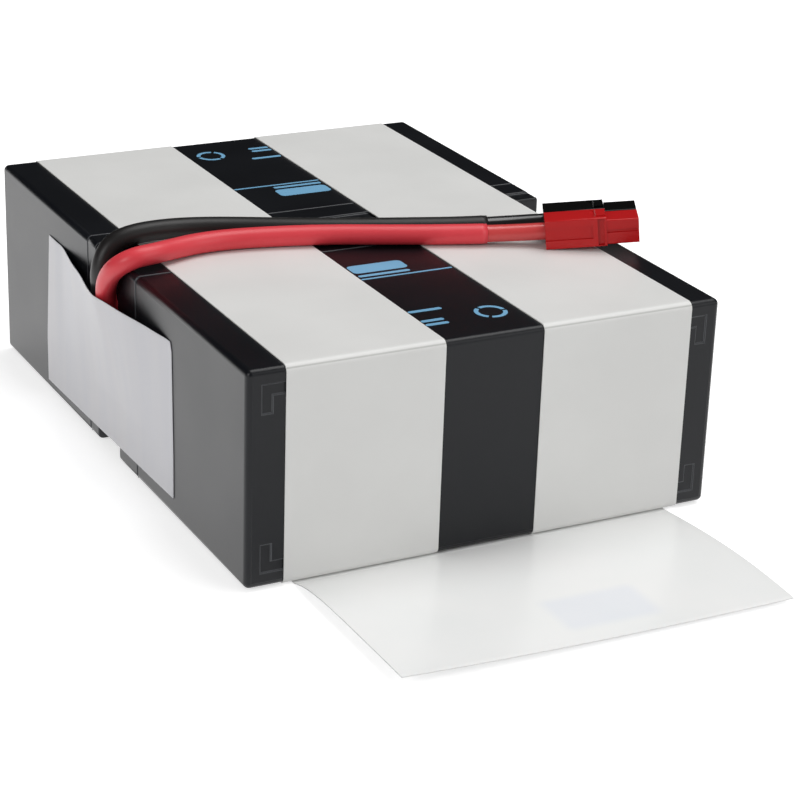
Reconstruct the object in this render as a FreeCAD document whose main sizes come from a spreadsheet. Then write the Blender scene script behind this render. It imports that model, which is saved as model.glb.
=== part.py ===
import FreeCAD, Part
import math
import os
import re
import Sketcher
from FreeCAD import Placement, Rotation, Vector

# Battery cartridge for an uninterruptible power supply: two sealed lead-acid batteries lie on a
# broad side with their lids facing each other.  Two film bands hold them together, a film guards
# the left end, a film tab under the pack pulls it out of its bay, and two leads run from the
# terminals, over the top, to a pair of single-pole connectors.
#
# Pack frame: origin at the middle of the pack's underside, +X to the right along the batteries,
# -Y the side that the tab leaves, +Z up.
# Battery frame: origin at the middle of the base, +X along the battery, +Z from base to lid; the
# terminals stand on a terrace at the -X end.

# ---------------------------------------------------------------------------------------------
# Driving sizes, in millimetres and degrees
# ---------------------------------------------------------------------------------------------

SIZES = [
    # the moulded case of one battery
    ("case_length", 151.0, "battery, end to end"),
    ("case_width", 65.0, "battery, broad side to broad side"),
    ("container_height", 81.0, "base to the lid joint"),
    ("terrace_height", 7.2, "lid joint to the terminal terrace"),
    ("shoulder_height", 9.8, "lid joint to the shoulder line"),
    ("lid_height", 15.7, "lid joint to the top of the lid"),
    ("terrace_length", 18.0, "terminal terrace, along the battery"),
    ("shoulder_inset", 0.6, "step of the lid above the shoulder line"),
    ("corner_radius", 1.8, "upright corners of the case"),
    ("base_radius", 1.8, "edges round the base"),
    ("lid_edge_radius", 0.8, "edge round the top of the lid"),
    ("case_wall", 2.5, "side walls"),
    ("base_wall", 2.5, "base"),
    ("partition", 1.5, "walls between the cells"),
    ("groove_height", 0.7, "joint groove between container and lid"),
    ("groove_depth", 0.6, "joint groove, into the lid"),
    ("mark_inset", 4.5, "corner marks on the base, from the case edges"),
    ("mark_width", 3.2, "stroke of a corner mark"),
    ("mark_length", 13.0, "long leg of a corner mark"),
    ("mark_height", 8.5, "short leg of a corner mark"),
    ("mark_depth", 0.4, "corner marks, into the base"),
    # cell contents
    ("head_space", 12.0, "plate tops to the container's rim"),
    ("negative_thickness", 1.9, "negative plate"),
    ("separator_thickness", 0.45, "glass mat separator"),
    ("stack_clearance", 0.15, "plate stack to the cell wall"),
    ("plate_side_gap", 1.0, "plate to the cell's end wall"),
    ("separator_side_gap", 0.5, "separator to the cell's end wall"),
    ("separator_rise", 1.5, "separator above the plates"),
    ("lug_inset", 9.0, "lug centre to the cell's end wall"),
    ("lug_width", 7.0, "lug on a plate"),
    ("lug_height", 5.0, "lug above the plate"),
    ("strap_width", 9.0, "cast strap over a row of lugs"),
    ("strap_thickness", 5.0, "cast strap"),
    ("bridge_radius", 2.4, "weld through a partition"),
    ("bridge_grip", 0.8, "weld, into the straps it joins"),
    ("bridge_clearance", 0.1, "weld to the hole in the partition"),
    # lid details
    ("lid_cavity", 3.5, "hollow under the lid, over each cell"),
    ("tray_end_margin", 2.6, "valve caps to the ends of the tray"),
    ("tray_side_margin", 1.4, "valve caps to the sides of the tray"),
    ("tray_depth", 6.7, "valve tray, below the top of the lid"),
    ("cover_thickness", 2.2, "plate over the valves"),
    ("cover_ledge", 1.5, "ledge that carries the cover plate"),
    ("cover_clearance", 0.15, "cover plate in its recess"),
    ("vent_shift", 3.0, "vents, from the cell centres away from the terrace"),
    ("spigot_radius", 4.0, "vent spigot"),
    ("spigot_height", 3.2, "vent spigot"),
    ("vent_radius", 2.2, "vent hole"),
    ("cap_wall", 1.1, "rubber valve cap"),
    ("cap_clearance", 0.1, "valve cap to its spigot and its floor"),
    # terminals
    ("terminal_inset", 9.5, "terminal to the end of the battery"),
    ("terminal_offset", 21.5, "terminal to the battery's middle plane"),
    ("blade_width", 6.35, "terminal blade"),
    ("blade_thickness", 0.8, "terminal blade"),
    ("blade_height", 7.95, "terminal blade above the terrace"),
    ("blade_corner", 1.0, "chamfer at the blade's tip"),
    ("post_radius", 2.5, "terminal's post, below the seal"),
    ("seal_radius", 4.4, "sealing compound round a terminal"),
    ("seal_depth", 3.0, "sealing compound, below the terrace"),
    ("seal_clearance", 0.1, "seal to its well and to the blade"),
    # pack
    ("lid_gap", 9.6, "between the two lids"),
    ("film_thickness", 0.3, "bands, end film and tab"),
    ("film_clearance", 0.05, "adhesive between film and case"),
    ("band_left_outer", 64.0, "left band, outer edge to the middle"),
    ("band_left_inner", 15.5, "left band, inner edge to the middle"),
    ("band_right_inner", 16.0, "right band, inner edge to the middle"),
    ("band_right_outer", 65.5, "right band, outer edge to the middle"),
    # film over the left end
    ("guard_back_low", 59.2, "end film, rear edge at the bottom"),
    ("guard_back_high", 55.3, "end film, rear edge at the top"),
    ("guard_front_low", 49.6, "end film, front edge at the bottom"),
    ("guard_front_high", 48.6, "end film, front edge at the top"),
    ("guard_bottom", 4.0, "end film, lower edge at the rear"),
    ("guard_slope", 2.8, "end film, how much higher its lower edge is at the front"),
    ("guard_flat_top", 20.0, "end film, height up to which it lies flat"),
    ("guard_top", 55.2, "end film, upper edge"),
    ("guard_lift_back", 43.0, "where the upper edge lifts, rear"),
    ("guard_lift_front", 45.0, "where the upper edge lifts, front"),
    ("guard_peak", 2.8, "crest of the lifted edge, in front of the middle"),
    ("guard_bulge", 6.3, "crest of the lifted edge, off the end"),
    ("guard_corner", 3.6, "cut corner of the end film"),
    # pull tab
    ("tab_left", 57.5, "tab, middle to its left edge"),
    ("tab_right", 62.0, "tab, middle to its right edge"),
    ("tab_reach", 65.2, "tab, its right corner beyond the front of the pack"),
    ("tab_skew", 4.7, "tab, how much shorter its left corner is"),
    ("tab_hump", 3.0, "rise of the tab's left edge"),
    ("tab_hump_start", 14.0, "near end of the rise, beyond the front of the pack"),
    ("tab_hump_end", 27.0, "far end of the rise, beyond the front of the pack"),
    ("tab_under", 6.0, "tab's rear edge, in front of the rear base"),
    # leads and receptacles
    ("wire_radius", 2.7, "insulated wire"),
    ("sleeve_radius", 3.15, "sleeve over the wire"),
    ("sleeve_clearance", 0.05, "wire in its sleeve"),
    ("barrel_radius", 2.35, "crimp barrel of a receptacle"),
    ("barrel_length", 8.0, "crimp barrel of a receptacle"),
    ("barrel_rise", 8.6, "crimp barrel above the terrace"),
    ("receptacle_width", 7.6, "receptacle across the blade"),
    ("receptacle_thickness", 3.0, "receptacle through the blade"),
    ("receptacle_lift", 1.2, "receptacle's mouth above the terrace"),
    ("receptacle_top", 7.4, "receptacle's top above the terrace"),
    ("receptacle_slot", 0.1, "receptacle to the blade, each side"),
    # single-pole connectors
    ("plug_length", 28.7, "housing, end to end"),
    ("plug_body", 18.8, "full-section rear part of the housing"),
    ("plug_width", 9.3, "housing, side to side"),
    ("plug_height", 9.2, "housing, bottom to top"),
    ("nose_inset", 0.4, "front part, inside the rear part's side and bottom"),
    ("nose_drop", 1.0, "front part, below the rear part's top"),
    ("plug_bore_radius", 3.0, "wire entry"),
    ("plug_bore_depth", 15.5, "wire entry"),
    ("mouth_half_width", 3.1, "mating mouth, half across"),
    ("mouth_low", 3.0, "mating mouth, below the housing's axis"),
    ("mouth_high", 2.3, "mating mouth, above the housing's axis"),
    ("panel_end", 14.6, "side panel, from the rear"),
    ("panel_low", 1.9, "side panel, below the axis"),
    ("panel_high", 2.1, "side panel, above the axis"),
    ("panel_depth", 0.5, "side panel, into the side"),
    ("slot_start", 16.1, "cross slot, from the rear"),
    ("slot_width", 2.0, "cross slot"),
    ("slot_half_height", 4.2, "cross slot, half its height"),
    ("groove_half_width", 0.5, "lengthwise groove in the front part, half across"),
    ("latch_start", 15.4, "latch on the top, from the rear"),
    ("latch_height", 0.4, "latch on the top"),
    ("latch_dip", 0.3, "dip in the top, behind the latch"),
    ("latch_dip_length", 1.4, "dip in the top, behind the latch"),
    ("housing_edge", 0.35, "long edges of the housing, radius"),
    ("latch_width", 6.0, "latch on the top, across"),
    ("contact_start", 8.0, "contact's crimp barrel, from the rear"),
    ("contact_barrel", 7.0, "contact's crimp barrel, length"),
    ("contact_radius", 2.5, "contact's crimp barrel"),
    ("tongue_width", 5.0, "contact's tongue"),
    ("tongue_thickness", 1.2, "contact's tongue"),
    ("tongue_top", 0.3, "contact's tongue, its top below the axis"),
    ("tongue_setback", 1.6, "contact's tongue, behind the housing's front"),
    ("spring_thickness", 0.4, "flat contact spring"),
    ("plug_yaw", -27.7, "connectors, turned on the pack"),
    ("plug_pitch", 6.1, "connectors, tipped up"),
    ("plug_x", 51.23, "red connector's wire entry"),
    ("plug_y", -40.56, "red connector's wire entry"),
    ("plug_gap", 0.05, "between the two connectors"),
    ("lead_straight", 6.0, "straight end of a lead, outside its connector"),
    ("sleeve_bare", 12.0, "lead left bare, before its straight end"),
]

POSITIVE_PLATES = 5      # in one cell
NEGATIVE_PLATES = 6      # in one cell
CELLS_ALONG = 3          # cells in each of a battery's two rows

# Routes of the leads, laid by hand through the points where they would bend if they were stiff.
# The red and black routes stop short of their connectors: two more points, in line with the
# connector, are worked out from its place.
RED_ROUTE = [
    (66, -4.7, 50.65), (66, -4.7, 44.5), (61.5, -2.8, 39.5), (53.5, -0.9, 37.5),
    (39, -0.6, 37.0), (14, -0.8, 38.2), (-12, -0.7, 39.0), (-38, -1.0, 38.6),
    (-52, -1.3, 39.2), (-62, -1.4, 40.2), (-71.8, -1.4, 43.2), (-77.4, -1.8, 50.0),
    (-78.8, -3.8, 56.6), (-79.3, -7.6, 62.1), (-78.3, -12.6, 66.9), (-74.1, -15.6, 70.0),
    (-67.4, -14.8, 70.2), (-60.0, -11.2, 69.6), (-50, -8.1, 69.3), (-37, -8.5, 69.3),
    (-14, -14.0, 69.3), (8, -23.0, 69.3), (26, -29.8, 69.3),
]
BLACK_ROUTE = [
    (-66, 4.7, 15.65), (-66, 4.7, 23.0), (-69.3, 4.8, 34.0), (-75.0, 4.8, 43.5),
    (-77.0, 4.7, 53.0), (-77.2, 4.9, 60.5), (-74.3, 5.5, 66.7), (-68.8, 5.4, 69.5),
    (-60, 5.4, 70.3), (-48, 5.2, 69.9), (-34, 1.6, 69.4), (-18, -5.6, 69.3),
    (1, -13.2, 69.3), (18, -19.2, 69.3), (32, -24.0, 69.3),
]
LINK_ROUTE = [
    (-66, 4.7, 50.65), (-66, 4.7, 43.5), (-62.5, 2.6, 34.0), (-54.5, 0.6, 29.0),
    (-42, 0.5, 26.5), (-20, 0.2, 24.5), (5, 0, 24.3), (30, -0.5, 25.5), (52, -0.8, 28.5),
    (61, -2.6, 28.5), (66, -4.7, 23.0), (66, -4.7, 15.65),
]
RED_SLEEVE_START = 10    # the route point where the red sleeve begins, counted from nought
BLACK_SLEEVE_START = 3   # the same for the black sleeve

doc = FreeCAD.newDocument("battery_cartridge")
sheet = doc.addObject("Spreadsheet::Sheet", "Sizes")
for row, (alias, number, meaning) in enumerate(SIZES, start=1):
    sheet.set(f"A{row}", alias)
    sheet.set(f"B{row}", str(number))
    sheet.set(f"C{row}", meaning)
    sheet.setAlias(f"B{row}", alias)
doc.recompute()


# ---------------------------------------------------------------------------------------------
# Helpers
# ---------------------------------------------------------------------------------------------

SIZE_NAME = re.compile(r"\b(" + "|".join(alias for alias, _, _ in SIZES) + r")\b")
finished = {}


def formula(text):
    """A size formula in the spreadsheet's words."""
    return SIZE_NAME.sub(r"Sizes.\1", str(text))


def value(text):
    """What a size formula comes to."""
    return float(sheet.evalExpression(formula(text)))


def new_body(name):
    body = doc.addObject("PartDesign::Body", name)
    body.Label = name
    return body


def sketch_on(body, plane, name, offset="0"):
    """An empty sketch on one of the body's planes, moved along the plane's normal."""
    support = [item for item in body.Origin.OriginFeatures if item.Role == plane + "_Plane"][0]
    sketch = body.newObject("Sketcher::SketchObject", name)
    sketch.AttachmentSupport = [(support, "")]
    sketch.MapMode = "FlatFace"
    sketch.setExpression("AttachmentOffset.Base.z", formula(offset))
    return sketch


def bind(sketch, kind, first, second, number):
    """A driving constraint tied to a size formula."""
    index = sketch.addConstraint(Sketcher.Constraint(kind, *first, *second, value(number)))
    sketch.setExpression(f"Constraints[{index}]", formula(number))


def polygon(sketch, corners):
    """A closed outline; each corner is a pair of size formulas."""
    points = [Vector(value(across), value(up), 0) for across, up in corners]
    first = sketch.GeometryCount
    count = len(points)
    for number in range(count):
        line = Part.LineSegment(points[number], points[(number + 1) % count])
        sketch.addGeometry(line, False)
    for number in range(count):
        here = first + number
        after = first + (number + 1) % count
        sketch.addConstraint(Sketcher.Constraint("Coincident", here, 2, after, 1))
    for number, (across, up) in enumerate(corners):
        bind(sketch, "DistanceX", (-1, 1), (first + number, 1), across)
        bind(sketch, "DistanceY", (-1, 1), (first + number, 1), up)
    return sketch


def rectangle(sketch, left, bottom, right, top):
    return polygon(sketch, [(left, bottom), (right, bottom), (right, top), (left, top)])


def rounded_rectangle(sketch, left, bottom, right, top, radius):
    """Four straight sides joined by four quarter circles."""
    corners = [
        (f"{left} + {radius}", bottom),
        (f"{right} - {radius}", bottom),
        (right, f"{bottom} + {radius}"),
        (right, f"{top} - {radius}"),
        (f"{right} - {radius}", top),
        (f"{left} + {radius}", top),
        (left, f"{top} - {radius}"),
        (left, f"{bottom} + {radius}"),
    ]
    centres = [
        (f"{right} - {radius}", f"{bottom} + {radius}"),
        (f"{right} - {radius}", f"{top} - {radius}"),
        (f"{left} + {radius}", f"{top} - {radius}"),
        (f"{left} + {radius}", f"{bottom} + {radius}"),
    ]
    points = [Vector(value(across), value(up), 0) for across, up in corners]
    first = sketch.GeometryCount
    for number, (across, up) in enumerate(centres):
        side = Part.LineSegment(points[2 * number], points[2 * number + 1])
        sketch.addGeometry(side, False)
        ring = Part.Circle(Vector(value(across), value(up), 0), Vector(0, 0, 1), value(radius))
        begin = math.radians(90 * number - 90)
        sketch.addGeometry(Part.ArcOfCircle(ring, begin, begin + math.pi / 2), False)
    count = len(corners)
    for number in range(count):
        here = first + number
        after = first + (number + 1) % count
        sketch.addConstraint(Sketcher.Constraint("Coincident", here, 2, after, 1))
    for number, (across, up) in enumerate(corners):
        bind(sketch, "DistanceX", (-1, 1), (first + number, 1), across)
        bind(sketch, "DistanceY", (-1, 1), (first + number, 1), up)
        if number % 2:
            arc = first + number
            index = sketch.addConstraint(Sketcher.Constraint("Radius", arc, value(radius)))
            sketch.setExpression(f"Constraints[{index}]", formula(radius))
    return sketch


def circle(sketch, across, up, radius):
    centre = Vector(value(across), value(up), 0)
    index = sketch.addGeometry(Part.Circle(centre, Vector(0, 0, 1), value(radius)), False)
    bind(sketch, "DistanceX", (-1, 1), (index, 3), across)
    bind(sketch, "DistanceY", (-1, 1), (index, 3), up)
    ring = sketch.addConstraint(Sketcher.Constraint("Radius", index, value(radius)))
    sketch.setExpression(f"Constraints[{ring}]", formula(radius))
    return sketch


def extrude(body, kind, sketch, length, reverse=False, both_ways=False):
    """A pad or pocket of the sketch; both_ways spreads the length evenly about the sketch."""
    feature = body.newObject("PartDesign::" + kind, kind.lower() + "_" + sketch.Name)
    feature.Profile = sketch
    feature.setExpression("Length", formula(length))
    feature.Reversed = reverse
    if both_ways:
        feature.SideType = "Symmetric"
    sketch.Visibility = False
    doc.recompute()
    return feature


def pad(body, sketch, length, **ways):
    return extrude(body, "Pad", sketch, length, **ways)


def pocket(body, sketch, length, **ways):
    return extrude(body, "Pocket", sketch, length, **ways)


def grid(body, feature, plane_axes, steps, counts, together=()):
    """Repeats a feature, and others with it, along one or two of the body's axes."""
    pattern = body.newObject("PartDesign::LinearPattern", "pattern_" + feature.Name)
    pattern.Originals = [*together, feature]
    axes = {item.Role: item for item in body.Origin.OriginFeatures}
    pattern.Direction = (axes[plane_axes[0] + "_Axis"], [""])
    pattern.setExpression("Length", formula(f"({steps[0]}) * {counts[0] - 1}"))
    pattern.Occurrences = counts[0]
    if len(steps) > 1:
        pattern.Direction2 = (axes[plane_axes[1] + "_Axis"], [""])
        pattern.setExpression("Length2", formula(f"({steps[1]}) * {counts[1] - 1}"))
        pattern.Occurrences2 = counts[1]
    body.Tip = pattern
    doc.recompute()
    return pattern


def fillet(body, radius, wanted):
    """Rounds the edges of the body that the test picks."""
    base = body.Tip
    names = [
        f"Edge{number}"
        for number, edge in enumerate(base.Shape.Edges, start=1)
        if wanted(edge)
    ]
    if not names:
        raise RuntimeError(body.Label + ": no edge to round")
    rounded = body.newObject("PartDesign::Fillet", "fillet_" + base.Name)
    rounded.Base = (base, names)
    rounded.setExpression("Radius", formula(radius))
    doc.recompute()
    return rounded


def along(edge, axis):
    """Whether an edge is straight and runs along the axis."""
    if not isinstance(edge.Curve, Part.Line):
        return False
    return abs(abs(edge.Curve.Direction.dot(axis)) - 1) < 1e-6


def at_height(edge, height):
    """Whether an edge lies wholly at one height of its body."""
    box = edge.BoundBox
    return abs(box.ZMin - height) < 1e-4 and abs(box.ZMax - height) < 1e-4


def settle(body, placement, origin):
    """Puts a body in the pack; the three origin entries are size formulas."""
    body.Placement = placement
    for axis, number in zip("xyz", origin):
        body.setExpression("Placement.Base." + axis, formula(number))
    doc.recompute()
    finished[body.Label] = body
    return body


def shape_feature(name, shape):
    feature = doc.addObject("Part::Feature", name)
    feature.Label = name
    feature.Shape = shape
    finished[name] = feature
    return feature


AXIS_X = Vector(1, 0, 0)
AXIS_Y = Vector(0, 1, 0)
AXIS_Z = Vector(0, 0, 1)

# ---------------------------------------------------------------------------------------------
# Sizes that follow from others
# ---------------------------------------------------------------------------------------------

CELL_LENGTH = f"((case_length - 2 * case_wall - {CELLS_ALONG - 1} * partition) / {CELLS_ALONG})"
CELL_WIDTH = "((case_width - 2 * case_wall - partition) / 2)"
CELL_STEP = f"({CELL_LENGTH} + partition)"
ROW_STEP = f"({CELL_WIDTH} + partition)"
FIRST_CELL = f"(-{CELL_STEP} * {(CELLS_ALONG - 1) / 2})"
FIRST_ROW = f"(-{ROW_STEP} / 2)"
STACK = f"({CELL_WIDTH} - 2 * stack_clearance)"
SEPARATORS = NEGATIVE_PLATES + POSITIVE_PLATES - 1
NEGATIVE_STACK = f"({NEGATIVE_PLATES} * negative_thickness)"
SEPARATOR_STACK = f"({SEPARATORS} * separator_thickness)"
POSITIVE_THICKNESS = f"(({STACK} - {NEGATIVE_STACK} - {SEPARATOR_STACK}) / {POSITIVE_PLATES})"
PLATE_STEP = f"(negative_thickness + {POSITIVE_THICKNESS} + 2 * separator_thickness)"
PLATE_TOP = "(container_height - head_space)"
LUG_TOP = f"({PLATE_TOP} + lug_height)"
LUG_FROM_CELL = f"({CELL_LENGTH} / 2 - lug_inset)"
STRAP_MIDDLE = f"({LUG_TOP} + strap_thickness / 2)"
FAR_LUG = f"({CELL_STEP} * {(CELLS_ALONG - 1) / 2} + {LUG_FROM_CELL})"
LID_TOP = "(container_height + lid_height)"
TERRACE = "(container_height + terrace_height)"
SHOULDER = "(container_height + shoulder_height)"
CASE_END = "(case_length / 2)"
CASE_SIDE = "(case_width / 2)"
CAP_RADIUS = "(spigot_radius + cap_clearance + cap_wall)"
TRAY_FLOOR = f"({LID_TOP} - tray_depth)"
TRAY_LEFT = f"({FIRST_CELL} + vent_shift - {CAP_RADIUS} - tray_end_margin)"
TRAY_RIGHT = f"(vent_shift - {FIRST_CELL} + {CAP_RADIUS} + tray_end_margin)"
TRAY_SIDE = f"({ROW_STEP} / 2 + {CAP_RADIUS} + tray_side_margin)"
HALF_DEPTH = f"({LID_TOP} + lid_gap / 2)"
TERMINAL_X = f"(terminal_inset - {CASE_END})"
UNDERSIDE = "(2 * film_thickness + film_clearance)"
PACK_MIDDLE = f"({UNDERSIDE} + {CASE_SIDE})"
BAND_TOP = f"({UNDERSIDE} + case_width + film_clearance + film_thickness)"

BATTERIES = {
    "rear": (Rotation(AXIS_X, 90), HALF_DEPTH),
    "front": (Rotation(AXIS_Z, 180) * Rotation(AXIS_X, 90), f"-{HALF_DEPTH}"),
}


def in_battery(body, side):
    """Puts a piece of a battery in the pack."""
    turn, depth = BATTERIES[side]
    return settle(body, Placement(Vector(), turn), ("0", depth, PACK_MIDDLE))


# ---------------------------------------------------------------------------------------------
# One battery
# ---------------------------------------------------------------------------------------------


def cell_pockets(body, name, level, depth):
    """Six pockets, one over or in each cell, cut upward from the level."""
    sketch = sketch_on(body, "XY", name, level)
    left = f"{FIRST_CELL} - {CELL_LENGTH} / 2"
    right = f"{FIRST_CELL} + {CELL_LENGTH} / 2"
    near = f"{FIRST_ROW} - {CELL_WIDTH} / 2"
    far = f"{FIRST_ROW} + {CELL_WIDTH} / 2"
    rectangle(sketch, left, near, right, far)
    cut = pocket(body, sketch, depth, reverse=True)
    return grid(body, cut, "XY", (CELL_STEP, ROW_STEP), (CELLS_ALONG, 2))


def make_container(side):
    body = new_body(side + "_container")
    outline = sketch_on(body, "XY", side + "_container_outline")
    rectangle(outline, f"-{CASE_END}", f"-{CASE_SIDE}", CASE_END, CASE_SIDE)
    pad(body, outline, "container_height")
    fillet(body, "corner_radius", lambda edge: along(edge, AXIS_Z))
    fillet(body, "base_radius", lambda edge: at_height(edge, 0))

    # L-shaped marks moulded into the four corners of the base
    marks = sketch_on(body, "XY", side + "_base_marks")
    for x_sign in (-1, 1):
        for y_sign in (-1, 1):
            outer_x = f"{x_sign} * ({CASE_END} - mark_inset)"
            outer_y = f"{y_sign} * ({CASE_SIDE} - mark_inset)"
            inner_x = f"{x_sign} * ({CASE_END} - mark_inset - mark_width)"
            inner_y = f"{y_sign} * ({CASE_SIDE} - mark_inset - mark_width)"
            end_x = f"{x_sign} * ({CASE_END} - mark_inset - mark_length)"
            end_y = f"{y_sign} * ({CASE_SIDE} - mark_inset - mark_height)"
            corners = [(outer_x, outer_y), (outer_x, end_y), (inner_x, end_y)]
            corners += [(inner_x, inner_y), (end_x, inner_y), (end_x, outer_y)]
            polygon(marks, corners)
    pocket(body, marks, "mark_depth", reverse=True)

    cell_pockets(body, side + "_cells", "base_wall", "container_height")

    # holes in the partitions, where the cells are joined in series
    first_wall = f"{FIRST_CELL} + {CELL_STEP} / 2"
    hole = sketch_on(body, "YZ", side + "_partition_hole", first_wall)
    circle(hole, FIRST_ROW, STRAP_MIDDLE, "bridge_radius + bridge_clearance")
    cut = pocket(body, hole, "partition * 2", both_ways=True)
    grid(body, cut, "XY", (CELL_STEP, ROW_STEP), (CELLS_ALONG - 1, 2))
    crossing = sketch_on(body, "XZ", side + "_middle_hole")
    circle(crossing, FAR_LUG, STRAP_MIDDLE, "bridge_radius + bridge_clearance")
    pocket(body, crossing, "partition * 2", both_ways=True)
    return in_battery(body, side)


def make_lid(side):
    body = new_body(side + "_lid")
    outline = sketch_on(body, "XY", side + "_lid_outline", "container_height")
    rectangle(outline, f"-{CASE_END}", f"-{CASE_SIDE}", CASE_END, CASE_SIDE)
    pad(body, outline, "lid_height")
    fillet(body, "corner_radius", lambda edge: along(edge, AXIS_Z))

    # terminal terrace
    terrace = sketch_on(body, "XY", side + "_terrace", TERRACE)
    step = f"terrace_length - {CASE_END}"
    rectangle(terrace, "-case_length", "-case_width", step, "case_width")
    pocket(body, terrace, "lid_height", reverse=True)

    # step along both broad sides
    shoulders = sketch_on(body, "XY", side + "_shoulders", SHOULDER)
    inner = f"({CASE_SIDE} - shoulder_inset)"
    rectangle(shoulders, "-case_length", inner, "case_length", "case_width")
    rectangle(shoulders, "-case_length", "-case_width", "case_length", f"-{inner}")
    pocket(body, shoulders, "lid_height", reverse=True)
    top = value(LID_TOP)
    fillet(body, "lid_edge_radius", lambda edge: at_height(edge, top))

    # groove all round, just above the container's rim
    groove = sketch_on(body, "XY", side + "_joint_groove", "container_height")
    rectangle(groove, "-case_length", "-case_width", "case_length", "case_width")
    long_side = f"({CASE_END} - groove_depth)"
    short_side = f"({CASE_SIDE} - groove_depth)"
    rectangle(groove, f"-{long_side}", f"-{short_side}", long_side, short_side)
    pocket(body, groove, "groove_height", reverse=True)

    cell_pockets(body, side + "_lid_cells", "container_height", "lid_cavity")

    # tray for the valves, and the recess that takes its cover
    tray = sketch_on(body, "XY", side + "_tray", TRAY_FLOOR)
    rectangle(tray, TRAY_LEFT, f"-{TRAY_SIDE}", TRAY_RIGHT, TRAY_SIDE)
    pocket(body, tray, "lid_height", reverse=True)
    recess = sketch_on(body, "XY", side + "_cover_recess", f"{LID_TOP} - cover_thickness")
    left = f"{TRAY_LEFT} - cover_ledge"
    right = f"{TRAY_RIGHT} + cover_ledge"
    reach = f"({TRAY_SIDE} + cover_ledge)"
    rectangle(recess, left, f"-{reach}", right, reach)
    pocket(body, recess, "lid_height", reverse=True)

    # vents
    spigot = sketch_on(body, "XY", side + "_spigot", TRAY_FLOOR)
    circle(spigot, f"{FIRST_CELL} + vent_shift", FIRST_ROW, "spigot_radius")
    stub = pad(body, spigot, "spigot_height")
    grid(body, stub, "XY", (CELL_STEP, ROW_STEP), (CELLS_ALONG, 2))
    vent = sketch_on(body, "XY", side + "_vent", "container_height")
    circle(vent, f"{FIRST_CELL} + vent_shift", FIRST_ROW, "vent_radius")
    bore = pocket(body, vent, "lid_height", reverse=True)
    grid(body, bore, "XY", (CELL_STEP, ROW_STEP), (CELLS_ALONG, 2))

    # terminal wells, each with a hole for the post in its floor
    well = sketch_on(body, "XY", side + "_well", f"{TERRACE} - seal_depth")
    circle(well, TERMINAL_X, "-terminal_offset", "seal_radius + seal_clearance")
    cut = pocket(body, well, "lid_height", reverse=True)
    grid(body, cut, "Y", ("2 * terminal_offset",), (2,))
    post_hole = sketch_on(body, "XY", side + "_post_hole", "container_height")
    circle(post_hole, TERMINAL_X, "-terminal_offset", "post_radius + seal_clearance")
    cut = pocket(body, post_hole, "terrace_height", reverse=True)
    grid(body, cut, "Y", ("2 * terminal_offset",), (2,))
    return in_battery(body, side)


def make_vent_cover(side):
    body = new_body(side + "_vent_cover")
    outline = sketch_on(body, "XY", side + "_cover_outline", f"{LID_TOP} - cover_thickness")
    left = f"{TRAY_LEFT} - cover_ledge + cover_clearance"
    right = f"{TRAY_RIGHT} + cover_ledge - cover_clearance"
    reach = f"({TRAY_SIDE} + cover_ledge - cover_clearance)"
    rectangle(outline, left, f"-{reach}", right, reach)
    pad(body, outline, "cover_thickness")
    fillet(body, "lid_edge_radius", lambda edge: along(edge, AXIS_Z))
    return in_battery(body, side)


def make_vent_valves(side):
    """Six rubber caps over the vent spigots."""
    body = new_body(side + "_vent_valves")
    across = f"{FIRST_CELL} + vent_shift"
    bore_radius = "spigot_radius + cap_clearance"
    outside = sketch_on(body, "XY", side + "_cap_outside", f"{TRAY_FLOOR} + cap_clearance")
    circle(outside, across, FIRST_ROW, CAP_RADIUS)
    block = pad(body, outside, "spigot_height + cap_wall")
    inside = sketch_on(body, "XY", side + "_cap_inside", TRAY_FLOOR)
    circle(inside, across, FIRST_ROW, bore_radius)
    bore = pocket(body, inside, "spigot_height + cap_clearance / 2", reverse=True)
    steps = (CELL_STEP, ROW_STEP)
    grid(body, bore, "XY", steps, (CELLS_ALONG, 2), together=(block,))
    return in_battery(body, side)


def make_plates(side, name, count, thickness, first, lug_direction):
    """The plates of one polarity in all six cells; the rows run in opposite directions."""
    body = new_body(f"{side}_{name}_plates")
    half = f"({CELL_LENGTH} / 2 - plate_side_gap)"
    for row, direction in ((0, lug_direction), (1, -lug_direction)):
        start = f"{FIRST_ROW} + {row} * {ROW_STEP} - {STACK} / 2 + {first}"
        # the sketch's normal points to -Y, so its offset counts backwards
        outline = sketch_on(body, "XZ", f"{side}_{name}_plate_{row}", f"-({start})")
        middle = f"({FIRST_CELL} + {direction} * {LUG_FROM_CELL})"
        corners = [
            (f"{FIRST_CELL} - {half}", "base_wall"),
            (f"{FIRST_CELL} + {half}", "base_wall"),
            (f"{FIRST_CELL} + {half}", PLATE_TOP),
            (f"{middle} + lug_width / 2", PLATE_TOP),
            (f"{middle} + lug_width / 2", LUG_TOP),
            (f"{middle} - lug_width / 2", LUG_TOP),
            (f"{middle} - lug_width / 2", PLATE_TOP),
            (f"{FIRST_CELL} - {half}", PLATE_TOP),
        ]
        polygon(outline, corners)
        plate = pad(body, outline, thickness, reverse=True)
        grid(body, plate, "XY", (CELL_STEP, PLATE_STEP), (CELLS_ALONG, count))
    return in_battery(body, side)


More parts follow.
